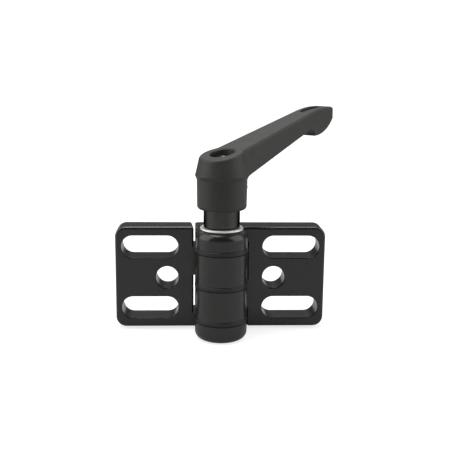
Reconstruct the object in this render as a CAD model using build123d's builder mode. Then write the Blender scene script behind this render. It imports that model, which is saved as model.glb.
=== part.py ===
"""Locking pivot joint for two slotted framing profiles.

Two slotted leaves turn on one vertical pivot bolt.  Their knuckles are stacked in turn with
friction discs between them, and an adjustable clamping lever squeezes the stack to lock it.

Frame: origin at the centre of the four-slot pattern, on the mounting plane of the leaves.
+X to the right leaf, +Y into the profiles behind the leaves, +Z up along the pivot.
All sizes are in millimetres.
"""
import os
from math import cos, pi, radians, sin, tan

from build123d import *

# --- leaves -------------------------------------------------------------------------------
leaf_height = 38.1            # as wide as the profile it is bolted to
leaf_reach = 38.7             # pivot axis to the outer edge
leaf_thickness = 9.5
leaf_corner = 3.8             # outer corners, seen from the front
leaf_front_round = 1.0        # cast rounding along the front outline
leaf_back_round = 0.4
tongue_round = 1.5            # back corner of the tongue behind a knuckle
relief_round = 0.6            # front edge of the relief that clears the other leaf's knuckle
bolt_hole = 8.33              # clearance for a 5/16 inch or M8 bolt
slot_length = 21.0            # end to end
slot_spacing_x = 52.0         # between the slot centres of the two leaves
slot_spacing_z = 23.1
hole_edge_round = 0.4         # front edges of slots and holes

# --- knuckles and the stack ---------------------------------------------------------------
axis_stand_off = 8.5          # front face of a leaf to the pivot axis
knuckle_radius = 9.4
knuckle_corner = 3.0          # rounding where the far wall turns in over the leaf
knuckle_edge = 0.4            # broken edges of the knuckle end faces
knuckle_end_round = 2.8       # outer ends of the barrel
knuckle_length = 10.75        # the two inner knuckles
barrel_half_length = 20.0
valley_round = 1.0            # cast fillet between barrel and leaf
leaf_gap = 0.5                # far wall of a knuckle to the other leaf's front
relief_slant = 3.5            # degrees, widens that gap towards the back
tongue_root = 1.5             # overlap of a tongue with its plate
disc_thickness = 1.8
disc_radius = 9.5
disc_edge = 0.3
disc_bore_play = 0.1          # radial gap of discs and washer to the bolt
face_play = 0.05              # axial play at every face of the stack
running_play = 0.05           # radial play of every turning or sliding fit
press_gap = 0.02              # radial gap drawn for a pressed or seated fit

# --- pivot bolt, bushes and washer -----------------------------------------------------------
bolt_diameter = 8.0
bolt_head_flats = 13.0
bolt_head_height = 3.5
bolt_head_recess = 0.1        # how far the head lies inside the knuckle
bolt_head_washer_face = 0.25  # turned face of the head, inside its flats
bolt_head_play = 0.1          # flats of the head to the walls of its pocket
bolt_point = 1.0              # chamfer at the threaded end
bush_wall = 1.4
bush_chamfer = 0.3
bush_recess = 0.1             # bush ends lie this far inside the knuckle faces
washer_diameter = 15.3
washer_thickness = 0.75
washer_edge = 0.12

# --- clamping lever: threaded insert -----------------------------------------------------------
neck_diameter = 12.9
neck_length = 6.85            # from the washer up into the lever's mouth
neck_edge = 0.4
serration_teeth = 24
serration_tip = 6.2           # radius over the teeth
serration_root = 5.5          # radius under the teeth
serration_flank = 30.0        # degrees from the tooth's centre line
serration_flat = 0.3          # width of a tooth at its tip
serration_height = 3.5
serration_play = 0.08         # flank play between insert and lever
insert_bolt_depth = 5.8       # of the pivot bolt's thread in the insert

# --- clamping lever: grip --------------------------------------------------------------------
lever_azimuth = 47.3          # degrees from +X towards +Y
hub_mouth = 6.6               # hub's lower face above the washer
hub_foot_radius = 8.75
hub_foot_round = 1.2
hub_waist_radius = 8.9
hub_waist_height = 10.55      # drafted cylinder below the collar
hub_collar_radius = 9.5
hub_collar_lip = 1.3          # height of the undercut below the collar
hub_cone_taper = 12.5         # degrees
arm_top_height = 26.4         # top plane above the washer, at the pivot axis
arm_top_slope = 14.5          # degrees
arm_bend_run = 16.05          # where the top starts to bend level, back from the tip
arm_bend_radius = 46.0
arm_bend_sweep = 28.0         # degrees, runs out past the tip
arm_sky = 45.0                # rough height before the top is cut
arm_reach = 65.05             # pivot axis to the tip
arm_root_half_width = 6.7     # at the pivot axis
arm_tip_half_width = 4.5
arm_draft = 1.0               # degrees, side walls
arm_under_start = 10.2        # underside, distance out from the axis
arm_under_height = 19.2       # underside there, above the washer
arm_under_slope = 19.35       # degrees
beak_run = 22.55              # start of the beak, back from the tip
beak_low_run = 14.05          # lowest point of the beak, back from the tip
beak_drop = 1.1               # below the end of the underside
beak_end_height = 37.6        # lower corner of the end, above the washer
arm_edge_round = 1.2
arm_under_round = 0.8
hub_blend = 2.4
tip_corner = 2.4
arm_root_drop = 2.7           # rough underside at the axis, cut away after the hub's blend
notch_run = 17.85             # centre of the notch, back from the tip
notch_radius = 3.6
notch_depth = 1.7
groove_run = 17.55            # start of the groove, back from the tip
groove_length = 14.0
groove_width = 3.6
groove_depth = 0.8

# --- clamping lever: screw, spring and their bore ------------------------------------------------
web_thickness = 1.75
screw_diameter = 5.0
screw_head_diameter = 7.9
screw_head_height = 5.0
screw_head_top = 25.05        # above the washer
screw_hex = 4.0
screw_hex_depth = 2.6
screw_edge = 0.35
screw_bite = 4.2              # thread in the insert
screw_bore_diameter = 8.7
screw_bore_edge = 0.35
spring_wire = 0.8
spring_outer_radius = 4.05
spring_wire_sides = 8         # the hidden wire is modelled with few faces
spring_turns = 3.5
spring_end_gap = 0.03         # end coils to web and head

# --- derived places ----------------------------------------------------------------------------
pivot_y = -(leaf_thickness + axis_stand_off)
leaf_front_y = -leaf_thickness
bolt_radius = bolt_diameter / 2
slot_radius = bolt_hole / 2
slot_inner = slot_spacing_x / 2 - slot_length / 2
round_hole_x = slot_inner + slot_radius
inner_low = disc_thickness / 2 + face_play
inner_high = inner_low + knuckle_length
disc_pitch = inner_high + face_play + disc_thickness / 2
end_low = disc_pitch + disc_thickness / 2 + face_play
relief_x = knuckle_radius + leaf_gap
bush_radius = bolt_radius + running_play + bush_wall
bush_bore_radius = bush_radius + press_gap
head_seat_z = -barrel_half_length + bolt_head_recess + bolt_head_height
pivot = Axis((0, pivot_y, 0), (0, 0, 1))

washer_top = barrel_half_length + face_play + washer_thickness
insert_foot = washer_top + face_play
hub_foot = washer_top + hub_mouth
neck_top = insert_foot + neck_length
serration_top = neck_top + serration_height
web_low = serration_top + face_play
web_high = web_low + web_thickness
head_top = washer_top + screw_head_top
head_low = head_top - screw_head_height

arm_dir = (cos(radians(lever_azimuth)), sin(radians(lever_azimuth)))
arm_plane = Plane(origin=(0, pivot_y, 0), x_dir=(*arm_dir, 0), z_dir=(arm_dir[1], -arm_dir[0], 0))


def level_plane(height):
    """A level plane at this height, centred on the pivot, with x along the lever's arm."""
    return Plane(origin=(0, pivot_y, height), x_dir=(*arm_dir, 0), z_dir=(0, 0, 1))


def finish(builder, name):
    """Label a finished piece and write its STEP file."""
    builder.part.label = name
    export_step(builder.part, f"parts/{name}.step")


os.makedirs("parts", exist_ok=True)

# === knuckles of one leaf (the left one) ==========================================================
with BuildSketch(Plane((0, pivot_y, 0))) as knuckle_outline:
    with BuildLine():
        CenterArc((0, 0), knuckle_radius, 0, 360)
        CenterArc((knuckle_radius - knuckle_corner, axis_stand_off), knuckle_corner, 0, 360)
    make_hull()

with BuildPart() as inner_knuckle:
    with BuildSketch(Plane.XY.offset(inner_low)):
        add(knuckle_outline.sketch)
    extrude(amount=knuckle_length)
    fillet(edges().filter_by(Plane.XY), radius=knuckle_edge)

with BuildPart() as end_knuckle:
    with BuildSketch(Plane.XY.offset(-barrel_half_length)):
        add(knuckle_outline.sketch)
    extrude(amount=barrel_half_length - end_low)
    fillet(edges().group_by(Axis.Z)[0], radius=knuckle_end_round)
    fillet(edges().group_by(Axis.Z)[-1], radius=knuckle_edge)

# === the casting that both leaves are machined from ================================================
with BuildPart() as casting:
    # plate, its inner wall slanted so that the leaves fold back a little
    with BuildSketch(Plane.XZ):
        with Locations((-(leaf_reach + relief_x) / 2, 0)):
            Rectangle(leaf_reach - relief_x, leaf_height)
        fillet(vertices().group_by(Axis.X)[0], radius=leaf_corner)
    extrude(amount=leaf_thickness)
    with BuildSketch(Plane.XY.offset(-leaf_height / 2)):
        Polygon((-relief_x, leaf_front_y), (-relief_x - leaf_thickness * tan(radians(relief_slant)), 0),
                (-relief_x, 0))
    extrude(amount=leaf_height, mode=Mode.SUBTRACT)
    # a tongue behind each knuckle
    with BuildSketch(Plane.XZ):
        with Locations((-relief_x - tongue_root, inner_low)):
            Rectangle(tongue_root + relief_x + knuckle_radius, knuckle_length, align=(Align.MIN, Align.MIN))
        with Locations((-relief_x - tongue_root, -leaf_height / 2)):
            Rectangle(tongue_root + relief_x + knuckle_radius, leaf_height / 2 - end_low,
                      align=(Align.MIN, Align.MIN))
    extrude(amount=leaf_thickness)
    fillet(edges().filter_by(Axis.Z).group_by(Axis.X)[-1].group_by(Axis.Y)[-1], radius=tongue_round)
    # rounded front outline: first the reliefs, then the outside in one run
    front = faces().sort_by(Axis.Y)[0]
    fillet(front.edges().filter_by(lambda e: abs(e.center().X + relief_x) < 0.01), radius=relief_round)
    front = faces().sort_by(Axis.Y)[0]
    outside = front.edges().filter_by(
        lambda e: abs(e.center().Z) > leaf_height / 2 - 0.01 or e.center().X < -leaf_reach + leaf_corner / 2)
    fillet(outside, radius=leaf_front_round)
    back = faces().sort_by(Axis.Y)[-1]
    outside = back.edges().filter_by(
        lambda e: abs(e.center().Z) > leaf_height / 2 - 0.01 or e.center().X < -leaf_reach + leaf_corner / 2)
    fillet(outside, radius=leaf_back_round)
    # cast fillets in the valleys between the barrel and the plate
    for low, high in ((inner_low, inner_high), (-barrel_half_length + knuckle_end_round, -end_low)):
        with BuildSketch(Plane.XY.offset(low)):
            with Locations((0, pivot_y)):
                Circle(knuckle_radius)
            Rectangle(relief_x, leaf_thickness, align=(Align.MAX, Align.MAX))
            valley = vertices().filter_by(lambda v: abs(v.Y - leaf_front_y) < 0.01 and 0 > v.X > -knuckle_radius)
            fillet(valley, radius=valley_round)
        extrude(amount=high - low)
    add(inner_knuckle.part)
    add(end_knuckle.part)
    # slots and the round hole
    with BuildSketch(Plane.XZ):
        with Locations((-slot_spacing_x / 2, slot_spacing_z / 2), (-slot_spacing_x / 2, -slot_spacing_z / 2)):
            SlotOverall(slot_length, bolt_hole)
        with Locations((-round_hole_x, 0)):
            Circle(slot_radius)
    extrude(amount=leaf_thickness, mode=Mode.SUBTRACT)
    mouths = edges().filter_by(
        lambda e: abs(e.center().Y - leaf_front_y) < 0.01 and -leaf_reach + 1 < e.center().X < -slot_inner + 0.01
        and abs(e.center().Z) < slot_spacing_z / 2 + slot_radius + 0.01)
    fillet(mouths, radius=hole_edge_round)

with BuildPart() as left_leaf:
    add(casting.part)
    # the bolt's captive head sits in the end knuckle, a bush in the inner one
    with Locations(Plane((0, pivot_y, -barrel_half_length))):
        Cylinder(bolt_radius + running_play, 2 * barrel_half_length,
                 align=(Align.CENTER, Align.CENTER, Align.MIN), mode=Mode.SUBTRACT)
    with BuildSketch(Plane((0, pivot_y, -barrel_half_length))):
        RegularPolygon(bolt_head_flats / 2 + bolt_head_play, 6, major_radius=False)
    extrude(amount=head_seat_z + barrel_half_length, mode=Mode.SUBTRACT)
    with BuildSketch(Plane((0, pivot_y, inner_low))):
        Circle(bush_bore_radius)
    extrude(amount=knuckle_length, mode=Mode.SUBTRACT)
finish(left_leaf, "left_leaf")

with BuildPart() as right_leaf:
    add(casting.part.rotate(Axis.Y, 180))
    # bushes in both knuckles
    with BuildSketch(Plane((0, pivot_y, -barrel_half_length))):
        Circle(bush_bore_radius)
    extrude(amount=2 * barrel_half_length, mode=Mode.SUBTRACT)
finish(right_leaf, "right_leaf")

# === bushes ===========================================================================================
for name, low, high in (
    ("top_knuckle_bush", end_low, barrel_half_length),
    ("upper_knuckle_bush", inner_low, inner_high),
    ("lower_knuckle_bush", -inner_high, -inner_low),
):
    with BuildPart() as bush:
        with BuildSketch(Plane((0, pivot_y, low + bush_recess))):
            Circle(bush_radius)
            Circle(bolt_radius + running_play, mode=Mode.SUBTRACT)
        extrude(amount=high - low - 2 * bush_recess)
        chamfer(edges().filter_by(GeomType.CIRCLE).filter_by(lambda e: e.radius > bush_radius - 0.01), length=bush_chamfer)
    finish(bush, name)

# === friction discs =====================================================================================
for name, middle in (
    ("upper_friction_disc", disc_pitch),
    ("middle_friction_disc", 0),
    ("lower_friction_disc", -disc_pitch),
):
    with BuildPart() as disc:
        with BuildSketch(Plane((0, pivot_y, middle))):
            Circle(disc_radius)
            Circle(bolt_radius + disc_bore_play, mode=Mode.SUBTRACT)
        extrude(amount=disc_thickness / 2, both=True)
        chamfer(edges().filter_by(GeomType.CIRCLE).filter_by(lambda e: e.radius > disc_radius - 0.01), length=disc_edge)
    finish(disc, name)

# === pivot bolt and top washer ============================================================================
with BuildPart() as pivot_bolt:
    with BuildSketch(Plane((0, pivot_y, head_seat_z))):
        RegularPolygon(bolt_head_flats / 2, 6, major_radius=False)
    extrude(amount=-bolt_head_height)
    # the head's lower corners are turned off at 30 degrees
    with BuildSketch(Plane((0, pivot_y, head_seat_z - bolt_head_height))):
        Circle(bolt_head_flats / 2 - bolt_head_washer_face)
    extrude(amount=bolt_head_height, taper=-60, mode=Mode.INTERSECT)
    with BuildSketch(Plane((0, pivot_y, head_seat_z))):
        Circle(bolt_radius)
    extrude(amount=insert_foot + insert_bolt_depth - head_seat_z)
    chamfer(edges().sort_by(Axis.Z)[-1], length=bolt_point)
finish(pivot_bolt, "pivot_bolt")

with BuildPart() as top_washer:
    with BuildSketch(Plane((0, pivot_y, washer_top - washer_thickness))):
        Circle(washer_diameter / 2)
        Circle(bolt_radius + disc_bore_play, mode=Mode.SUBTRACT)
    extrude(amount=washer_thickness)
    chamfer(edges().filter_by(GeomType.CIRCLE).filter_by(lambda e: e.radius > washer_diameter / 2 - 0.01),
            length=washer_edge)
finish(top_washer, "top_washer")


# === threaded insert ========================================================================================
def serration_outline(growth):
    """Ring of serration teeth seen from above; growth moves every face outwards."""
    base = serration_root + growth
    tip = serration_tip + growth
    half_tip = serration_flat / 2 + growth
    half_base = half_tip + (tip - base) * tan(radians(serration_flank))
    with BuildSketch(mode=Mode.PRIVATE) as outline:
        Circle(base)
        with PolarLocations(0, serration_teeth):
            Polygon((base / 2, -half_base), (base, -half_base), (tip, -half_tip),
                    (tip, half_tip), (base, half_base), (base / 2, half_base))
    return outline.sketch


with BuildPart() as lever_insert:
    with BuildSketch(Plane((0, pivot_y, insert_foot))):
        Circle(neck_diameter / 2)
    extrude(amount=neck_length)
    chamfer(edges().filter_by(GeomType.CIRCLE), length=neck_edge)
    with BuildSketch(level_plane(neck_top)):
        add(serration_outline(0))
    extrude(amount=serration_height)
    with BuildSketch(Plane((0, pivot_y, insert_foot))):
        Circle(bolt_radius + running_play)
    extrude(amount=serration_top - screw_bite - insert_foot, mode=Mode.SUBTRACT)
    with BuildSketch(Plane((0, pivot_y, serration_top))):
        Circle(screw_diameter / 2 + press_gap)
    extrude(amount=-screw_bite, mode=Mode.SUBTRACT)
finish(lever_insert, "lever_insert")

# === retaining screw and spring ================================================================================
with BuildPart() as retaining_screw:
    with BuildSketch(Plane((0, pivot_y, head_low))):
        Circle(screw_head_diameter / 2)
    extrude(amount=screw_head_height)
    chamfer(edges().filter_by(GeomType.CIRCLE).sort_by(Axis.Z)[-1], length=screw_edge)
    with BuildSketch(level_plane(head_top)):
        RegularPolygon(screw_hex / 2, 6, major_radius=False)
    extrude(amount=-screw_hex_depth, mode=Mode.SUBTRACT)
    with BuildSketch(Plane((0, pivot_y, serration_top - screw_bite))):
        Circle(screw_diameter / 2)
    extrude(amount=head_low - serration_top + screw_bite)
finish(retaining_screw, "retaining_screw")

with BuildPart() as lever_spring:
    room = head_low - web_high - spring_wire - 2 * spring_end_gap
    with BuildLine():
        coil = Helix(room / spring_turns, room, spring_outer_radius - spring_wire / 2,
                     center=(0, pivot_y, web_high + spring_end_gap + spring_wire / 2))
    with BuildSketch(Plane(origin=coil @ 0, z_dir=coil % 0)):
        RegularPolygon(spring_wire / 2, spring_wire_sides, major_radius=False)
    sweep(is_frenet=True)
finish(lever_spring, "lever_spring")

# === clamping lever ===============================================================================================
waist_z = hub_foot + hub_waist_height
collar_z = waist_z + hub_collar_lip
top_z = washer_top + arm_top_height
sky_z = washer_top + arm_sky
arm_straight = arm_reach - arm_bend_run
beak_start = arm_reach - beak_run
beak_low = arm_reach - beak_low_run
top_rise = tan(radians(arm_top_slope))
under_rise = tan(radians(arm_under_slope))
under_z = washer_top + arm_under_height - arm_under_start * under_rise
beak_z = under_z + beak_start * under_rise
rough_z = under_z - arm_root_drop
tip_z = washer_top + beak_end_height
bend_start = (arm_straight, top_z + arm_straight * top_rise)
bend_centre = (arm_straight + arm_bend_radius * sin(radians(arm_top_slope)),
               bend_start[1] - arm_bend_radius * cos(radians(arm_top_slope)))


def along_arm(shape):
    """Distance of a shape's centre from the pivot, measured along the arm."""
    centre = shape.center() - Vector(0, pivot_y, 0)
    return centre.X * arm_dir[0] + centre.Y * arm_dir[1]


with BuildPart() as finger_groove:
    # shallow groove that follows the bend of the arm's top
    with BuildSketch(level_plane(tip_z)):
        with Locations((arm_reach - groove_run + groove_length / 2, 0)):
            SlotOverall(groove_length, groove_width)
    extrude(amount=sky_z - tip_z)
    with BuildSketch(arm_plane):
        with Locations(bend_centre):
            Circle(arm_bend_radius - groove_depth)
    extrude(amount=groove_width, both=True, mode=Mode.SUBTRACT)

with BuildPart() as hub:
    # drafted foot, collar and cone
    with BuildSketch(arm_plane):
        Polygon((0, hub_foot), (hub_foot_radius, hub_foot), (hub_waist_radius, waist_z),
                (hub_collar_radius, collar_z),
                (hub_collar_radius - (sky_z - collar_z) * tan(radians(hub_cone_taper)), sky_z), (0, sky_z))
        fillet(vertices().group_by(Axis.Y)[0].sort_by(Axis.X)[-1], radius=hub_foot_round)
    revolve(axis=pivot)

with BuildPart() as under_cut:
    # what lies between the rough and the true underside, outside the hub
    with BuildSketch(arm_plane):
        Polygon((0, under_z), (beak_start, beak_z), (beak_start, beak_z - 1), (0, rough_z - 1))
    extrude(amount=2 * hub_collar_radius, both=True)
    add(hub.part, mode=Mode.SUBTRACT)

with BuildPart() as clamp_lever:
    # arm as seen from above, drafted, then trimmed below by its side outline
    with BuildSketch(level_plane(waist_z - hub_blend)):
        Polygon((0, -arm_root_half_width), (arm_reach, -arm_tip_half_width),
                (arm_reach, arm_tip_half_width), (0, arm_root_half_width))
        fillet(vertices().group_by(Axis.X)[-1], radius=tip_corner)
    extrude(amount=sky_z - waist_z + hub_blend, taper=arm_draft)
    with BuildSketch(arm_plane):
        with BuildLine():
            Polyline((0, sky_z), (0, rough_z), (beak_start, beak_z), (beak_low, beak_z - beak_drop))
            TangentArc((beak_low, beak_z - beak_drop), (arm_reach, tip_z), tangent=(1, 0))
            Polyline((arm_reach, tip_z), (arm_reach, sky_z), (0, sky_z))
        make_face()
    extrude(amount=hub_collar_radius, both=True, mode=Mode.INTERSECT)
    add(hub.part)
    # top: a sloping plane that bends level towards the tip
    with BuildSketch(arm_plane):
        with BuildLine():
            flat_top = Line((-2 * hub_collar_radius, top_z - 2 * hub_collar_radius * top_rise), bend_start)
            bend = CenterArc(bend_centre, arm_bend_radius, 90 + arm_top_slope, -arm_bend_sweep)
            Polyline(bend @ 1, ((bend @ 1).X, sky_z + 1), (-2 * hub_collar_radius, sky_z + 1), flat_top @ 0)
        make_face()
    extrude(amount=2 * hub_collar_radius, both=True, mode=Mode.SUBTRACT)
    # the arm runs out of the hub through a blend; the rim and the beak are rounded
    root = edges().filter_by(lambda e: e.geom_type in (GeomType.ELLIPSE, GeomType.HYPERBOLA)
                             and 0 < along_arm(e) < hub_collar_radius)
    fillet(root, radius=hub_blend)
    top_faces = faces().filter_by(lambda f: f.normal_at(f.center()).Z > 0.6)
    rim = top_faces.edges().filter_by(
        lambda e: abs(along_arm(e) - arm_straight) > 0.1 or e.length > 2 * arm_root_half_width)
    fillet(rim, radius=arm_edge_round)
    add(under_cut.part, mode=Mode.SUBTRACT)
    beak = faces().filter_by(lambda f: f.normal_at(f.center()).Z < -0.3 and along_arm(f) > beak_start)
    fillet(beak.edges().filter_by(lambda e: along_arm(e) > beak_start + 0.1
                                  and abs(along_arm(e) - beak_low) > 0.1), radius=arm_under_round)
    # notch across the underside, groove along the top
    with BuildSketch(arm_plane):
        with Locations((arm_reach - notch_run, beak_z + notch_depth - notch_radius)):
            Circle(notch_radius)
    extrude(amount=hub_collar_radius, both=True, mode=Mode.SUBTRACT)
    add(finger_groove.part, mode=Mode.SUBTRACT)
    # inside the hub: mouth, serrations, web and the screw's chamber
    with BuildSketch(Plane((0, pivot_y, hub_foot))):
        Circle(hub_mouth)
    extrude(amount=neck_top + running_play - hub_foot, mode=Mode.SUBTRACT)
    with BuildSketch(level_plane(neck_top)):
        add(serration_outline(serration_play))
    extrude(amount=web_low - neck_top, mode=Mode.SUBTRACT)
    with BuildSketch(Plane((0, pivot_y, web_low))):
        Circle(screw_diameter / 2 + running_play)
    extrude(amount=web_thickness, mode=Mode.SUBTRACT)
    with BuildSketch(Plane((0, pivot_y, web_high))):
        Circle(screw_bore_diameter / 2)
    extrude(amount=sky_z - web_high, mode=Mode.SUBTRACT)
    bore_rim = edges().filter_by(GeomType.ELLIPSE).filter_by(lambda e: abs(along_arm(e)) < screw_bore_diameter / 2 + 0.1)
    chamfer(bore_rim, length=screw_bore_edge)
finish(clamp_lever, "clamp_lever")
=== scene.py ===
"""Studio scene of a locking pivot joint for slotted framing profiles.

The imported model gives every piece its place. This script dresses those pieces, adds the
turned, threaded and knurled fasteners, and sets up the floor, the soft lights and the camera.
All lengths in the script are in metres unless a name says otherwise.
"""

import logging
import math
from collections.abc import Callable
from dataclasses import dataclass, field
from enum import Enum

import bmesh
import bpy
from mathutils import Matrix, Vector

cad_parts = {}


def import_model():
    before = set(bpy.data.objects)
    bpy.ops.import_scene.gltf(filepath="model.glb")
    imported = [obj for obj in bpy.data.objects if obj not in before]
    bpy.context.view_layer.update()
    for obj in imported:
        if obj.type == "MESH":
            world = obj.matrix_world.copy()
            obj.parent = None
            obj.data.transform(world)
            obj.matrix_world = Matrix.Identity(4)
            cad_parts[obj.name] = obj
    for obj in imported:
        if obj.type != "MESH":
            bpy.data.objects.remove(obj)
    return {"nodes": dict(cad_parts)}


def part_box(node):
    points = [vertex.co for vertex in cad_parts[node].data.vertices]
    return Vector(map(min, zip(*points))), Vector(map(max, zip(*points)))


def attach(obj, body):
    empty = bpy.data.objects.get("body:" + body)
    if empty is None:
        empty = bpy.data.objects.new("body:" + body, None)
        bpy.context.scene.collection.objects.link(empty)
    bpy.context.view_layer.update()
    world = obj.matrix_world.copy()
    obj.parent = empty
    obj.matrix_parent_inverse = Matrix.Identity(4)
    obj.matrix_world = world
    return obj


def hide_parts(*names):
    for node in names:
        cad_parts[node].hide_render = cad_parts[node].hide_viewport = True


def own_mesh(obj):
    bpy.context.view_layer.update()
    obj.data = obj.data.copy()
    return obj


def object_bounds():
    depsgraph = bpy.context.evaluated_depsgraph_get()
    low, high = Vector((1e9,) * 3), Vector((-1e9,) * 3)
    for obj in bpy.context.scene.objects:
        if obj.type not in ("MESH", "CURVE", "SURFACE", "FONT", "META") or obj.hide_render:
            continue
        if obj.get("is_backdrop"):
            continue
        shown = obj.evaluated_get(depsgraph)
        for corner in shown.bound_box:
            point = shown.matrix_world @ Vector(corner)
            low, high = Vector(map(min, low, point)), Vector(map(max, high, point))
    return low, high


LOG = logging.getLogger("pivot_joint")
MM = 0.001
PIVOT = Vector((0.0, -0.018, 0.0))
# height of a metric thread's flank as a share of its pitch
THREAD_DEPTH = 0.6134
# a wave texture turns through this many radians in one unit of its scaled coordinates
WAVE_RADIANS = 20.0


# --- helpers ------------------------------------------------------------------------------
def linear(colour: str) -> tuple[float, float, float, float]:
    """Turns an sRGB hex colour into the linear colour that a shader takes.

    Args:
        colour: Six hex digits after a hash sign, such as "#2b2b29".

    Returns:
        Red, green, blue and an alpha of 1.
    """
    values = (int(colour[i:i + 2], 16) / 255 for i in (1, 3, 5))
    red, green, blue = (v / 12.92 if v <= 0.04045 else ((v + 0.055) / 1.055) ** 2.4 for v in values)
    return red, green, blue, 1.0


def add_node(tree: bpy.types.NodeTree, kind: str, values: dict | None = None,
             links: dict | None = None, **settings: object) -> bpy.types.Node:
    """Adds one node to a tree, with its settings and the links that feed it.

    Args:
        tree: The node tree that gets the node.
        kind: The node's type name.
        values: Input socket name or index to value.
        links: Input socket name or index to the output socket that feeds it.
        **settings: Properties of the node itself.

    Returns:
        The new node.
    """
    node = tree.nodes.new(kind)
    for name, value in settings.items():
        setattr(node, name, value)
    for name, value in (values or {}).items():
        node.inputs[name].default_value = value
    for name, source in (links or {}).items():
        tree.links.new(source, node.inputs[name])
    return node


def per_metre(size_mm: float) -> float:
    """Texture scale whose pattern repeats about once every size_mm."""
    return 1000.0 / size_mm


# --- finishes -----------------------------------------------------------------------------
@dataclass(frozen=True)
class Finish:
    """A surface finish that builds its own node material.

    Attributes:
        name: What the finish is and how it was made.
        colour: Its sRGB hex colour.
        roughness: Its mean roughness.
        sheen_level: Strength of its mirror-like reflection, 0.5 for a plain smooth skin.
    """

    name: str
    colour: str
    roughness: float
    sheen_level: float = 0.5

    def shader(self) -> tuple[bpy.types.Material, bpy.types.Node]:
        """Starts the material with its uniform values.

        Returns:
            The material and its main shader node.
        """
        material = bpy.data.materials.new(self.name)
        material.use_nodes = True
        tree = material.node_tree
        tree.nodes.clear()
        shader = add_node(tree, "ShaderNodeBsdfPrincipled",
                          {"Base Color": linear(self.colour), "Roughness": self.roughness,
                           "Specular IOR Level": self.sheen_level})
        add_node(tree, "ShaderNodeOutputMaterial", links={"Surface": shader.outputs[0]})
        return material, shader

    def build(self) -> bpy.types.Material:
        """Builds the finished material."""
        return self.shader()[0]


@dataclass(frozen=True)
class PowderCoat(Finish):
    """Baked polyester powder on a casting: an orange-peel skin with a soft sheen.

    Attributes:
        thin_colour: Colour where the coat is thin or dusty.
        peel_mm: Spacing of the orange-peel waves.
        peel_height_mm: Height of those waves.
        grain_mm: Spacing of the fine grit in the coat.
        grain_height_mm: Height of that grit.
        spread: How far the roughness wanders either way.
        cloud_mm: Size of the clouds in the colour.
        gloss_mm: Size of the patches in the gloss.
    """

    thin_colour: str = "#3a3a38"
    peel_mm: float = 1.6
    peel_height_mm: float = 0.0012
    grain_mm: float = 0.45
    grain_height_mm: float = 0.0006
    spread: float = 0.05
    cloud_mm: float = 14.0
    gloss_mm: float = 5.0

    def build(self) -> bpy.types.Material:
        """Builds the coat from cloudy colour, wandering gloss and two scales of relief.

        Returns:
            The finished material.
        """
        material, shader = self.shader()
        tree = material.node_tree
        place = add_node(tree, "ShaderNodeTexCoord").outputs["Object"]
        cloud = add_node(tree, "ShaderNodeTexNoise",
                         {"Scale": per_metre(self.cloud_mm), "Detail": 3.0, "Roughness": 0.55},
                         {"Vector": place})
        tint = add_node(tree, "ShaderNodeMix", {6: linear(self.colour), 7: linear(self.thin_colour)},
                        {0: cloud.outputs[0]}, data_type="RGBA")
        tree.links.new(tint.outputs[2], shader.inputs["Base Color"])
        gloss = add_node(tree, "ShaderNodeTexNoise",
                         {"Scale": per_metre(self.gloss_mm), "Detail": 4.0, "Roughness": 0.6},
                         {"Vector": place})
        rough = add_node(tree, "ShaderNodeMapRange",
                         {"From Min": 0.3, "From Max": 0.7, "To Min": self.roughness - self.spread,
                          "To Max": self.roughness + self.spread}, {"Value": gloss.outputs[0]})
        tree.links.new(rough.outputs[0], shader.inputs["Roughness"])
        peel = add_node(tree, "ShaderNodeTexNoise",
                        {"Scale": per_metre(self.peel_mm), "Detail": 1.0}, {"Vector": place})
        waves = add_node(tree, "ShaderNodeBump", {"Strength": 1.0, "Distance": self.peel_height_mm * MM},
                         {"Height": peel.outputs[0]})
        grit = add_node(tree, "ShaderNodeTexVoronoi", {"Scale": per_metre(self.grain_mm)},
                        {"Vector": place}, feature="SMOOTH_F1")
        relief = add_node(tree, "ShaderNodeBump", {"Strength": 1.0, "Distance": self.grain_height_mm * MM},
                          {"Height": grit.outputs[0], "Normal": waves.outputs[0]})
        tree.links.new(relief.outputs[0], shader.inputs["Normal"])
        return material


@dataclass(frozen=True)
class MouldedAcetal(Finish):
    """Injection-moulded acetal, waxy and even, with the fine texture of its mould.

    Attributes:
        texture_mm: Spacing of the mould's texture. A real one is finer than 0.1 mm and would
            not show, so it is drawn coarser.
        texture_height_mm: Height of that texture.
        patch_mm: Size of the patches in the gloss.
        spread: How far the roughness wanders either way.
    """

    texture_mm: float = 0.5
    texture_height_mm: float = 0.0015
    patch_mm: float = 3.0
    spread: float = 0.06

    def build(self) -> bpy.types.Material:
        """Builds the plastic with a faint mould texture and small gloss changes.

        Returns:
            The finished material.
        """
        material, shader = self.shader()
        tree = material.node_tree
        place = add_node(tree, "ShaderNodeTexCoord").outputs["Object"]
        patch = add_node(tree, "ShaderNodeTexNoise", {"Scale": per_metre(self.patch_mm), "Detail": 3.0},
                         {"Vector": place})
        rough = add_node(tree, "ShaderNodeMapRange",
                         {"To Min": self.roughness - self.spread, "To Max": self.roughness + self.spread},
                         {"Value": patch.outputs[0]})
        tree.links.new(rough.outputs[0], shader.inputs["Roughness"])
        grain = add_node(tree, "ShaderNodeTexNoise", {"Scale": per_metre(self.texture_mm), "Detail": 2.0},
                         {"Vector": place})
        relief = add_node(tree, "ShaderNodeBump",
                          {"Strength": 1.0, "Distance": self.texture_height_mm * MM},
                          {"Height": grain.outputs[0]})
        tree.links.new(relief.outputs[0], shader.inputs["Normal"])
        return material


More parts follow.
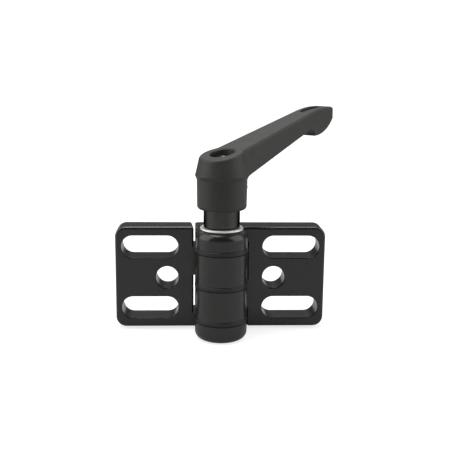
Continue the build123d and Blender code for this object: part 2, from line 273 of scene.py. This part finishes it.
@dataclass(frozen=True)
class TurnedMetal(Finish):
    """Steel turned or stamped round the pivot, with a metal plating or an oxide on it.

    Attributes:
        stain: Second colour of the plating, in soft patches.
        ring_mm: Spacing of the turning rings round the pivot. A lathe leaves them 0.1 to 0.2 mm
            apart, which would not show, so they are drawn coarser.
        ring_depth_mm: Depth of those rings.
        edge: Tint of the reflection where the surface turns away.
        patch_mm: Size of the patches in the plating.
        spread: How far the roughness wanders either way.
    """

    stain: str = "#ffffff"
    ring_mm: float = 0.5
    ring_depth_mm: float = 0.002
    edge: str = "#ffffff"
    patch_mm: float = 4.0
    spread: float = 0.07

    def build(self) -> bpy.types.Material:
        """Builds the metal with rings round the pivot and patchy plating.

        Returns:
            The finished material.
        """
        material, shader = self.shader()
        tree = material.node_tree
        shader.inputs["Metallic"].default_value = 1.0
        shader.inputs["Specular Tint"].default_value = linear(self.edge)
        place = add_node(tree, "ShaderNodeTexCoord").outputs["Object"]
        centred = add_node(tree, "ShaderNodeMapping", {"Location": -PIVOT}, {"Vector": place})
        rings = add_node(tree, "ShaderNodeTexWave",
                         {"Scale": per_metre(self.ring_mm) * math.tau / WAVE_RADIANS,
                          "Distortion": 0.6, "Detail": 2.0, "Detail Scale": 1.5},
                         {"Vector": centred.outputs[0]},
                         wave_type="RINGS", rings_direction="Z")
        patch = add_node(tree, "ShaderNodeTexNoise", {"Scale": per_metre(self.patch_mm), "Detail": 4.0},
                         {"Vector": place})
        tint = add_node(tree, "ShaderNodeMix", {6: linear(self.colour), 7: linear(self.stain)},
                        {0: patch.outputs[0]}, data_type="RGBA")
        tree.links.new(tint.outputs[2], shader.inputs["Base Color"])
        rough = add_node(tree, "ShaderNodeMapRange",
                         {"To Min": self.roughness - self.spread, "To Max": self.roughness + self.spread},
                         {"Value": patch.outputs[0]})
        tree.links.new(rough.outputs[0], shader.inputs["Roughness"])
        relief = add_node(tree, "ShaderNodeBump", {"Strength": 1.0, "Distance": self.ring_depth_mm * MM},
                          {"Height": rings.outputs[0]})
        tree.links.new(relief.outputs[0], shader.inputs["Normal"])
        return material


class Coating(Enum):
    """The finishes that this joint uses, one for each kind of piece."""

    # Cast leaves: semi-gloss black polyester powder, sprayed and baked. It flows out smooth, so
    # the flat faces mirror bright surroundings softly and the fillets carry long highlights. Its
    # grit is far finer than 0.45 mm and is drawn coarser to show at all.
    LEAF = PowderCoat("black_semi_gloss_powder_coat", "#1b1b19", 0.24, 0.5, thin_colour="#1f1f1d")
    # Lever: fine-textured black polyester powder on die-cast zinc. The texture scatters light, so
    # the lever looks greyer than the leaves and has no clear reflections. The texture is drawn
    # a little coarser than the real one.
    LEVER = PowderCoat("black_textured_powder_coat", "#333331", 0.5, 0.26, thin_colour="#393937",
                       peel_mm=0.9, peel_height_mm=0.012, grain_mm=0.5, grain_height_mm=0.012)
    # Friction discs: black acetal, injection moulded, which gives a deep black with a waxy gleam.
    DISC = MouldedAcetal("black_moulded_acetal", "#171716", 0.4, 0.4)
    # Bushes: natural acetal, injection moulded, which is a warm off-white and slightly waxy.
    BUSH = MouldedAcetal("natural_moulded_acetal", "#c9c4b6", 0.42)
    # Top washer: stamped steel with bright zinc plate, the one light piece of the joint. The
    # plate is soft rather than mirror bright, so it stays pale from most sides.
    WASHER = TurnedMetal("bright_zinc_plated_steel", "#f6f5f2", 0.55, stain="#e8e8e4")
    # Bolt, insert and screw: turned steel with black oxide and a trace of oil. It is nearly
    # black face on, with narrow highlights along its edges.
    OXIDE = TurnedMetal("black_oxide_steel", "#4c4c4a", 0.3, stain="#40403e", edge="#2a2a2a")
    # Spring: hard drawn steel wire, bare and grey with a bright line along each turn.
    WIRE = TurnedMetal("drawn_spring_steel", "#8f9092", 0.34, stain="#77787a")


def dress(piece: bpy.types.Object, material: bpy.types.Material) -> None:
    """Gives a piece one material in place of what it had."""
    piece.data.materials.clear()
    piece.data.materials.append(material)


# --- turning and threading ----------------------------------------------------------------
Ring = list[bmesh.types.BMEdge]


def around(flats: float, corner: float) -> Callable[[float], float]:
    """Outline of a hexagon as a radius that depends on the angle.

    Args:
        flats: Width across the flats.
        corner: Angle of one corner, in degrees.

    Returns:
        A function from an angle in radians to the radius there.
    """
    def radius(angle: float) -> float:
        """Distance from the axis to the hexagon at one angle."""
        off = (angle - math.radians(corner)) % (math.pi / 3) - math.pi / 6
        return flats / 2 / math.cos(off)
    return radius


def first_ring(mesh: bmesh.types.BMesh, segments: int, radius: float, height: float) -> Ring:
    """Starts a turned shape with one circle of edges.

    Args:
        mesh: The mesh that gets the circle.
        segments: Number of edges.
        radius: Radius of the circle.
        height: Height of the circle.

    Returns:
        The edges of the circle.
    """
    verts = bmesh.ops.create_circle(mesh, segments=segments, radius=radius)["verts"]
    bmesh.ops.translate(mesh, verts=verts, vec=(0.0, 0.0, height))
    # a plain set would hand the edges on in another order each run
    return list(dict.fromkeys(edge for vert in verts for edge in vert.link_edges))


def next_ring(mesh: bmesh.types.BMesh, ring: Ring, radius: float | Callable[[float], float],
              height: float | Callable[[float], float]) -> Ring:
    """Extrudes a ring of edges to a new radius and height.

    Args:
        mesh: The mesh that holds the ring.
        ring: Edges of the last ring.
        radius: New radius, or a function from angle to radius.
        height: New height, or a function from radius to height.

    Returns:
        The edges of the new ring.
    """
    grown = bmesh.ops.extrude_edge_only(mesh, edges=ring)["geom"]
    verts = {item for item in grown if isinstance(item, bmesh.types.BMVert)}
    for vert in verts:
        angle = math.atan2(vert.co.y, vert.co.x)
        reach = radius(angle) if callable(radius) else radius
        level = height(reach) if callable(height) else height
        vert.co = (reach * math.cos(angle), reach * math.sin(angle), level)
    return [item for item in grown
            if isinstance(item, bmesh.types.BMEdge) and verts.issuperset(item.verts)]


def close_ring(mesh: bmesh.types.BMesh, ring: Ring) -> None:
    """Fills a flat ring of edges with one face."""
    bmesh.ops.edgeloop_fill(mesh, edges=ring)


def cut_thread(mesh: bmesh.types.BMesh, diameter: float, pitch: float, low: float, high: float,
               point: float, segments: int = 48) -> None:
    """Adds a closed rod with a right-hand metric thread.

    A profile of one pitch is spun upwards through all its turns, cut level at both ends and
    drawn in at the top to a chamfered point.

    Args:
        mesh: The mesh that gets the rod.
        diameter: Outer diameter of the thread.
        pitch: Rise in one turn.
        low: Height of the lower end.
        high: Height of the upper end.
        point: Length of the 45 degree chamfer at the upper end.
        segments: Steps in one turn.
    """
    rod = bmesh.new()
    crest = diameter / 2
    root = crest - THREAD_DEPTH * pitch
    # the profile starts below the rod and ends above it, so that both cuts are full circles
    bottom = low - 1.5 * pitch
    tiny = 0.001 * pitch
    # root flat, rising flank, crest flat and falling flank, as shares of the pitch
    profile = ((root, 0.0), (root, 0.167), (crest, 0.521), (crest, 0.646), (root, 1.0))
    verts = [rod.verts.new((radius, 0.0, bottom + share * pitch)) for radius, share in profile]
    edges = [rod.edges.new(pair) for pair in zip(verts, verts[1:])]
    turns = math.ceil((high - low) / pitch) + 3
    bmesh.ops.spin(rod, geom=verts + edges, cent=(0.0, 0.0, 0.0), axis=(0.0, 0.0, 1.0),
                   dvec=(0.0, 0.0, pitch / segments), angle=math.tau * turns, steps=segments * turns)
    bmesh.ops.remove_doubles(rod, verts=rod.verts, dist=2 * tiny)
    for level, above in ((low, False), (high, True)):
        cut = bmesh.ops.bisect_plane(rod, geom=rod.verts[:] + rod.edges[:] + rod.faces[:],
                                     dist=tiny, plane_co=(0.0, 0.0, level),
                                     plane_no=(0.0, 0.0, 1.0),
                                     clear_outer=above, clear_inner=not above)
        rim = [item for item in cut["geom_cut"] if isinstance(item, bmesh.types.BMEdge)]
        bmesh.ops.edgeloop_fill(rod, edges=rim)
    for vert in rod.verts:
        limit = crest - max(0.0, vert.co.z - (high - point))
        reach = math.hypot(vert.co.x, vert.co.y)
        if reach > limit:
            vert.co.x *= limit / reach
            vert.co.y *= limit / reach
    bmesh.ops.recalc_face_normals(rod, faces=rod.faces)
    piece = bpy.data.meshes.new("rod")
    rod.to_mesh(piece)
    rod.free()
    mesh.from_mesh(piece)
    bpy.data.meshes.remove(piece)


def finish_piece(mesh: bmesh.types.BMesh, name: str, material: bpy.types.Material, body: str,
                 node: str, sharp: float = 32.0) -> bpy.types.Object:
    """Turns a bmesh round the pivot axis into a piece that stands for a node of the model.

    Args:
        mesh: The shape, with the pivot axis through its origin; it is freed.
        name: Name of the piece.
        material: Its material.
        body: The body that it moves with.
        node: The node that it stands for.
        sharp: Angle in degrees from which an edge stays sharp.

    Returns:
        The new object, at the origin.
    """
    bmesh.ops.translate(mesh, verts=mesh.verts, vec=PIVOT)
    for face in mesh.faces:
        face.smooth = True
    for edge in mesh.edges:
        edge.smooth = edge.is_manifold and edge.calc_face_angle(0.0) < math.radians(sharp)
    data = bpy.data.meshes.new(name)
    mesh.to_mesh(data)
    mesh.free()
    piece = bpy.data.objects.new(name, data)
    bpy.context.scene.collection.objects.link(piece)
    dress(piece, material)
    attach(piece, body)
    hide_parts(node)
    return piece


# --- sub-assemblies -----------------------------------------------------------------------
@dataclass(frozen=True)
class Shop:
    """What every sub-assembly works with.

    Attributes:
        nodes: The model's pieces by name.
        materials: The built material of each finish.
    """

    nodes: dict[str, bpy.types.Object]
    materials: dict[Coating, bpy.types.Material]


@dataclass
class CoatedPieces:
    """Pieces whose shape the model already has, each with its finish.

    Attributes:
        coatings: Name of a piece to its finish.
    """

    coatings: dict[str, Coating] = field(default_factory=dict)

    def build(self, shop: Shop) -> list[str]:
        """Dresses the pieces.

        Args:
            shop: The model's pieces and the materials.

        Returns:
            The names of the pieces.
        """
        for name, coating in self.coatings.items():
            dress(shop.nodes[name], shop.materials[coating])
        return list(self.coatings)


@dataclass
class LeafPair(CoatedPieces):
    """The two cast leaves with their knuckles."""

    coatings: dict[str, Coating] = field(default_factory=lambda: {
        "left_leaf": Coating.LEAF,
        "right_leaf": Coating.LEAF,
    })


@dataclass
class HingeStack(CoatedPieces):
    """Discs, bushes and washer between and inside the knuckles."""

    coatings: dict[str, Coating] = field(default_factory=lambda: {
        "upper_friction_disc": Coating.DISC,
        "middle_friction_disc": Coating.DISC,
        "lower_friction_disc": Coating.DISC,
        "top_knuckle_bush": Coating.BUSH,
        "upper_knuckle_bush": Coating.BUSH,
        "lower_knuckle_bush": Coating.BUSH,
        "top_washer": Coating.WASHER,
    })


@dataclass
class PivotBolt:
    """Hexagon bolt that runs up through all knuckles, threaded at its upper end.

    Attributes:
        flats: Width of the head across its flats.
        corner: Angle of one corner of the head, in degrees.
        head_height: Height of the head with its turned face.
        turned_face: Height of the turned face under the hexagon.
        shank: Diameter of the shank and thread.
        throat: Radius of the fillet between head and shank.
        pitch: Thread pitch.
        threaded: Length of the thread.
        point: Chamfer at the end.
        turned_share: Radius of the turned faces of the head, as a share of the flats.
        head_chamfer: Slope of the head's chamfer, in degrees.
        segments: Edges round the bolt.
        throat_steps: Rings of faces in the fillet.
    """

    flats: float = 13.0 * MM
    corner: float = 0.0
    head_height: float = 3.5 * MM
    turned_face: float = 0.25 * MM
    shank: float = 8.0 * MM
    throat: float = 0.35 * MM
    pitch: float = 1.25 * MM
    threaded: float = 12.0 * MM
    point: float = 1.0 * MM
    turned_share: float = 0.475
    head_chamfer: float = 30.0
    segments: int = 72
    throat_steps: int = 4

    def build(self, shop: Shop) -> list[str]:
        """Turns the bolt from head to thread.

        Args:
            shop: The materials.

        Returns:
            The piece's name.
        """
        low, high = (corner.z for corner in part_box("pivot_bolt"))
        mesh = bmesh.new()
        seat = low + self.head_height
        crown = self.turned_share * self.flats
        slope = math.tan(math.radians(self.head_chamfer))
        hexagon = around(self.flats, self.corner)
        ring = first_ring(mesh, self.segments, crown, low)
        close_ring(mesh, ring)
        # the chamfer leaves the curved corners of a forged head
        ring = next_ring(mesh, ring, hexagon, lambda reach: low + (reach - crown) * slope)
        ring = next_ring(mesh, ring, hexagon, seat - self.turned_face)
        ring = next_ring(mesh, ring, crown, seat - self.turned_face)
        ring = next_ring(mesh, ring, crown, seat)
        for step in range(self.throat_steps + 1):
            turn = math.pi / 2 * step / self.throat_steps
            ring = next_ring(mesh, ring, self.shank / 2 + self.throat * (1 - math.sin(turn)),
                             seat + self.throat * (1 - math.cos(turn)))
        runout = high - self.threaded
        ring = next_ring(mesh, ring, self.shank / 2, runout - 0.5 * self.pitch)
        # the shank ends in a cone inside the thread, a little wider than the thread's root
        ring = next_ring(mesh, ring, self.shank / 2 - 0.6 * self.pitch, runout)
        close_ring(mesh, ring)
        bmesh.ops.recalc_face_normals(mesh, faces=mesh.faces)
        cut_thread(mesh, self.shank, self.pitch, runout - 0.5 * self.pitch, high, self.point)
        bolt = finish_piece(mesh, "hexagon_pivot_bolt", shop.materials[Coating.OXIDE], "fixed_leaf",
                            "pivot_bolt")
        return [bolt.name]


@dataclass
class RetainingScrew:
    """Socket head screw in the hub, with a straight knurl round its head.

    Attributes:
        head: Diameter of the head.
        head_height: Height of the head.
        edge: Chamfer at the top of the head.
        flutes: Number of ridges in the knurl.
        flute_steps: Edges round each ridge.
        flute_depth: Depth of the knurl.
        band: Plain band above and below the knurl.
        flats: Width of the hexagon socket across its flats.
        corner: Angle of one corner of the socket, in degrees.
        socket_depth: Depth of the socket's flats.
        lead: Chamfer at the mouth of the socket.
        thread: Diameter of the thread.
        pitch: Thread pitch.
        ramp: Height over which the ridges of the knurl rise.
        drill: Radius of the drilled hole under the socket.
        drill_tip: Radius at which the drilled cone is closed.
        drill_cone: Depth of that cone.
    """

    head: float = 7.9 * MM
    head_height: float = 5.0 * MM
    edge: float = 0.35 * MM
    flutes: int = 48
    flute_steps: int = 4
    flute_depth: float = 0.11 * MM
    band: float = 0.35 * MM
    flats: float = 4.0 * MM
    corner: float = 47.3
    socket_depth: float = 2.6 * MM
    lead: float = 0.12 * MM
    thread: float = 5.0 * MM
    pitch: float = 0.8 * MM
    ramp: float = 0.105 * MM
    drill: float = 1.76 * MM
    drill_tip: float = 0.08 * MM
    drill_cone: float = 0.8 * MM

    def build(self, shop: Shop) -> list[str]:
        """Turns, knurls and threads the screw.

        Args:
            shop: The materials.

        Returns:
            The piece's name.
        """
        low, high = (corner.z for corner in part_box("retaining_screw"))
        mesh = bmesh.new()
        rim = self.head / 2
        foot = high - self.head_height
        turn = math.radians(self.corner)

        def knurl(angle: float) -> float:
            """Radius of the knurled side, a row of blunt ridges."""
            wave = 0.5 + 0.5 * math.cos((angle - turn) * self.flutes)
            return rim - self.flute_depth * (1 - wave)

        hexagon = around(self.flats, self.corner)
        ring = first_ring(mesh, self.flutes * self.flute_steps, rim - self.flute_depth, foot)
        bmesh.ops.rotate(mesh, verts=mesh.verts, cent=(0.0, 0.0, 0.0), matrix=Matrix.Rotation(turn, 3, "Z"))
        close_ring(mesh, ring)
        ring = next_ring(mesh, ring, rim - self.flute_depth, foot + self.band)
        ring = next_ring(mesh, ring, knurl, foot + self.band + self.ramp)
        ring = next_ring(mesh, ring, knurl, high - self.edge - self.ramp)
        ring = next_ring(mesh, ring, rim - self.flute_depth, high - self.edge)
        ring = next_ring(mesh, ring, rim - self.flute_depth - self.edge, high)
        corners = self.flats / math.sqrt(3)
        ring = next_ring(mesh, ring, corners + self.lead, high)
        ring = next_ring(mesh, ring, hexagon, lambda reach: high - self.lead - (corners - reach))
        ring = next_ring(mesh, ring, hexagon, high - self.socket_depth)
        ring = next_ring(mesh, ring, self.drill, high - self.socket_depth)
        ring = next_ring(mesh, ring, self.drill_tip, high - self.socket_depth - self.drill_cone)
        close_ring(mesh, ring)
        bmesh.ops.recalc_face_normals(mesh, faces=mesh.faces)
        cut_thread(mesh, self.thread, self.pitch, low, foot + 0.5 * self.pitch, 0.0)
        screw = finish_piece(mesh, "socket_head_screw", shop.materials[Coating.OXIDE], "clamp",
                             "retaining_screw")
        return [screw.name]


@dataclass
class LeverSpring:
    """Compression spring that pushes the lever down onto its serrations.

    Attributes:
        wire: Diameter of the wire.
        outside: Outer radius of the coil.
        turns: Number of turns.
        lift: How far the lever rises and squeezes the spring. Not used.
        wire_sides: Edges round the wire.
        turn_steps: Rings of faces in one turn.
    """

    wire: float = 0.8 * MM
    outside: float = 4.05 * MM
    turns: float = 3.5
    lift: float = 3.8 * MM
    wire_sides: int = 14
    turn_steps: int = 48

    def build(self, shop: Shop) -> list[str]:
        """Coils the round wire.

        Args:
            shop: The materials.

        Returns:
            The piece's name.
        """
        low, high = (corner.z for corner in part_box("lever_spring"))
        mesh = bmesh.new()
        start = low + self.wire / 2
        rise = high - low - self.wire
        verts = bmesh.ops.create_circle(mesh, cap_ends=True, segments=self.wire_sides,
                                        radius=self.wire / 2)["verts"]
        middle = self.outside - self.wire / 2
        slope = math.atan2(rise / self.turns, math.tau * middle)
        bmesh.ops.rotate(mesh, verts=verts, cent=(0.0, 0.0, 0.0),
                         matrix=Matrix.Rotation(slope - math.pi / 2, 3, "X"))
        bmesh.ops.translate(mesh, verts=verts, vec=(middle, 0.0, start))
        steps = round(self.turns * self.turn_steps)
        bmesh.ops.spin(mesh, geom=mesh.verts[:] + mesh.edges[:] + mesh.faces[:], cent=(0.0, 0.0, 0.0),
                       axis=(0.0, 0.0, 1.0), dvec=(0.0, 0.0, rise / steps), angle=math.tau * self.turns,
                       steps=steps)
        bmesh.ops.recalc_face_normals(mesh, faces=mesh.faces)
        spring = finish_piece(mesh, "round_wire_spring", shop.materials[Coating.WIRE], "clamp",
                              "lever_spring")
        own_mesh(spring)
        return [spring.name]


@dataclass
class ClampingLever(CoatedPieces):
    """Coated lever and the threaded insert that its serrations turn."""

    coatings: dict[str, Coating] = field(default_factory=lambda: {
        "clamp_lever": Coating.LEVER,
        "lever_insert": Coating.OXIDE,
    })


# --- studio -------------------------------------------------------------------------------
@dataclass(frozen=True)
class SoftBox:
    """A square area light that faces a point of the joint.

    Attributes:
        name: Object name.
        place: Centre of the light.
        aim: Point that it faces.
        size: Width and height.
        power: Radiant power in watts.
    """

    name: str
    place: tuple[float, float, float]
    aim: tuple[float, float, float]
    size: tuple[float, float]
    power: float

    def build(self) -> bpy.types.Object:
        """Hangs the light in the scene.

        Returns:
            The light's object.
        """
        lamp = bpy.data.lights.new(self.name, "AREA")
        lamp.shape = "RECTANGLE"
        lamp.size, lamp.size_y = self.size
        lamp.energy = self.power
        light = bpy.data.objects.new(self.name, lamp)
        light.location = self.place
        light.rotation_mode = "QUATERNION"
        light.rotation_quaternion = (Vector(self.aim) - Vector(self.place)).to_track_quat("-Z", "Y")
        bpy.context.scene.collection.objects.link(light)
        return light


@dataclass
class Studio:
    """Floor, backdrop light, soft boxes and camera.

    Attributes:
        floor_size: Side of the square floor.
        floor_gap: Hair's breadth between the floor and the joint's lowest face.
        paper: Colour of the floor in the light that it throws back.
        painted_shade_glow: Plain white that is added to the floor as seen, close to the joint. It is kept
            below full white there as painted shade round the joint.
        painted_shade_reach: Distances between which that white grows to full strength. This paints the floor
            brighter away from the joint and hides the lamps' falloff.
        mirrored_floor: Share of that white that reflections show.
        fill: Strength of the light from the walls.
        dim_room: Brightness of the unlit room in front, as reflections show it.
        low_wall: Share of white that the foot of the backdrop has in reflections.
        wall_rise: Heights on a unit sphere between which the backdrop turns white.
        wall_turn: Depths on a unit sphere between which the room turns into the backdrop.
        lens: Focal length in millimetres.
        sensor: Width of the camera's sensor in millimetres.
        camera_place: Camera position.
        forward: Direction of view.
        upward: Camera's own up direction.
        boxes: The soft boxes.
    """

    floor_size: float = 6.0
    floor_gap: float = 0.02 * MM
    paper: str = "#a8a8a8"
    # painted shade: the floor's glow close to the joint is kept below full white
    painted_shade_glow: float = 0.76
    painted_shade_reach: tuple[float, float] = (0.12, 0.6)
    mirrored_floor: float = 0.25
    fill: float = 0.2
    dim_room: float = 0.06
    low_wall: float = 0.1
    wall_rise: tuple[float, float] = (0.25, 0.6)
    wall_turn: tuple[float, float] = (0.35, 0.8)
    lens: float = 61.037
    sensor: float = 36.0
    camera_place: Vector = Vector((-0.009658, -0.28249, 0.075489))
    forward: Vector = Vector((0.04009, 0.97902, -0.19977))
    upward: Vector = Vector((-0.00164, 0.2, 0.9798))
    boxes: tuple[SoftBox, ...] = (
        SoftBox("left_soft_box", (-0.6, -0.06, 0.34), (0.0, -0.018, 0.01), (0.7, 0.8), 3.7),
        SoftBox("right_soft_box", (0.6, -0.14, 0.32), (0.0, -0.018, 0.01), (0.7, 0.8), 3.2),
        SoftBox("top_soft_box", (-0.05, 0.06, 0.75), (0.0, 0.0, 0.02), (0.6, 0.36), 5.0),
    )

    @staticmethod
    def seen(tree: bpy.types.NodeTree, mirrored: float) -> bpy.types.NodeSocket:
        """Tells how directly a surface is seen.

        Args:
            tree: The node tree that asks.
            mirrored: Value for reflections and for what shows through clear pieces.

        Returns:
            1 for the camera, mirrored for reflections, 0 for light that is thrown on.
        """
        path = add_node(tree, "ShaderNodeLightPath")
        indirect = add_node(tree, "ShaderNodeMath", links={0: path.outputs["Is Glossy Ray"],
                                                           1: path.outputs["Is Transmission Ray"]},
                            operation="MAXIMUM")
        dimmed = add_node(tree, "ShaderNodeMath", {1: mirrored}, {0: indirect.outputs[0]},
                          operation="MULTIPLY")
        either = add_node(tree, "ShaderNodeMath", links={0: path.outputs["Is Camera Ray"],
                                                         1: dimmed.outputs[0]}, operation="MAXIMUM")
        return either.outputs[0]

    def floor(self, height: float) -> None:
        """Lays a pale floor that the camera sees as white but for soft shadows, which are partly real
        and partly painted shade: the floor's glow is dimmer close to the joint and full white further
        out, where it is painted light that hides the lamps' falloff.

        Args:
            height: Height of the joint's lowest face.
        """
        mesh = bpy.data.meshes.new("floor")
        sheet = bmesh.new()
        bmesh.ops.create_grid(sheet, x_segments=1, y_segments=1, size=self.floor_size / 2)
        bmesh.ops.translate(sheet, verts=sheet.verts, vec=(0.0, 0.0, height - self.floor_gap))
        sheet.to_mesh(mesh)
        sheet.free()
        floor = bpy.data.objects.new("floor", mesh)
        bpy.context.scene.collection.objects.link(floor)
        material = bpy.data.materials.new("white_paper_painted_shade")
        material.use_nodes = True
        tree = material.node_tree
        tree.nodes.clear()
        place = add_node(tree, "ShaderNodeTexCoord").outputs["Object"]
        away = add_node(tree, "ShaderNodeVectorMath", links={0: place}, operation="LENGTH")
        # the glow is painted: dimmer close to the joint as painted shade, full white further out as painted
        # light that hides the lamps' falloff
        near, far = self.painted_shade_reach
        white = add_node(tree, "ShaderNodeMapRange",
                         {"From Min": near, "From Max": far, "To Min": self.painted_shade_glow, "To Max": 1.0},
                         {"Value": away.outputs["Value"]}, interpolation_type="SMOOTHSTEP")
        seen = self.seen(tree, self.mirrored_floor)
        glow = add_node(tree, "ShaderNodeMath", links={0: white.outputs[0], 1: seen},
                        operation="MULTIPLY")
        paper = add_node(tree, "ShaderNodeBsdfDiffuse", {"Color": linear(self.paper)})
        light = add_node(tree, "ShaderNodeEmission", {"Color": (1.0, 1.0, 1.0, 1.0)},
                         {"Strength": glow.outputs[0]})
        both = add_node(tree, "ShaderNodeAddShader", links={0: paper.outputs[0], 1: light.outputs[0]})
        add_node(tree, "ShaderNodeOutputMaterial", links={"Surface": both.outputs[0]})
        dress(floor, material)
        floor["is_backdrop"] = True

    def surroundings(self) -> None:
        """Fills the world with plain light, and with white where the camera looks.

        Reflections show the white backdrop behind the joint and the dim room in front of it.
        """
        world = bpy.data.worlds.new("studio_walls")
        bpy.context.scene.world = world
        world.use_nodes = True
        tree = world.node_tree
        tree.nodes.clear()
        direction = add_node(tree, "ShaderNodeTexCoord").outputs["Generated"]
        axes = add_node(tree, "ShaderNodeSeparateXYZ", links={0: direction})
        low, high = self.wall_rise
        height = add_node(tree, "ShaderNodeMapRange",
                          {"From Min": low, "From Max": high, "To Min": self.low_wall, "To Max": 1.0},
                          {"Value": axes.outputs["Z"]}, interpolation_type="SMOOTHSTEP")
        near, far = self.wall_turn
        backdrop = add_node(tree, "ShaderNodeMapRange",
                            {"From Min": near, "From Max": far, "To Min": self.dim_room},
                            {"Value": axes.outputs["Y"], "To Max": height.outputs[0]},
                            interpolation_type="SMOOTHSTEP")
        path = add_node(tree, "ShaderNodeLightPath")
        wall = add_node(tree, "ShaderNodeMath",
                        links={0: backdrop.outputs[0], 1: path.outputs["Is Camera Ray"]},
                        operation="MAXIMUM")
        fill = add_node(tree, "ShaderNodeBackground", {"Color": (1.0, 1.0, 1.0, 1.0), "Strength": self.fill})
        white = add_node(tree, "ShaderNodeBackground", {"Color": (1.0, 1.0, 1.0, 1.0)},
                         {"Strength": wall.outputs[0]})
        mix = add_node(tree, "ShaderNodeMixShader",
                       links={0: self.seen(tree, 1.0), 1: fill.outputs[0], 2: white.outputs[0]})
        add_node(tree, "ShaderNodeOutputWorld", links={"Surface": mix.outputs[0]})

    def camera(self) -> None:
        """Stands the camera in front of the joint, a little above it."""
        lens = bpy.data.cameras.new("camera")
        lens.lens = self.lens
        lens.sensor_width = self.sensor
        lens.clip_start, lens.clip_end = 0.01, 20.0
        camera = bpy.data.objects.new("camera", lens)
        right = self.forward.cross(self.upward).normalized()
        upward = right.cross(self.forward).normalized()
        turn = Matrix((right, upward, -self.forward.normalized())).transposed()
        camera.matrix_world = Matrix.Translation(self.camera_place) @ turn.to_4x4()
        bpy.context.scene.collection.objects.link(camera)
        bpy.context.scene.camera = camera

    def build(self, floor_height: float) -> None:
        """Sets up the floor, the lights, the surroundings and the camera.

        Args:
            floor_height: Height of the joint's lowest face.
        """
        self.floor(floor_height)
        self.surroundings()
        for box in self.boxes:
            box.build()
        self.camera()
        bpy.context.scene.view_settings.view_transform = "Standard"


def main() -> None:
    """Builds the joint's looks and its studio."""
    logging.basicConfig(level=logging.INFO, format="%(name)s: %(message)s")
    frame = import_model()
    cad_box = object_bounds()
    shop = Shop(frame["nodes"], {coating: coating.value.build() for coating in Coating})
    parts = (LeafPair(), HingeStack(), PivotBolt(), ClampingLever(), LeverSpring(), RetainingScrew())
    for part in parts:
        for name in part.build(shop):
            LOG.info("%s: %s", type(part).__name__, name)
    Studio().build(cad_box[0].z)


if __name__ == "__main__":
    main()
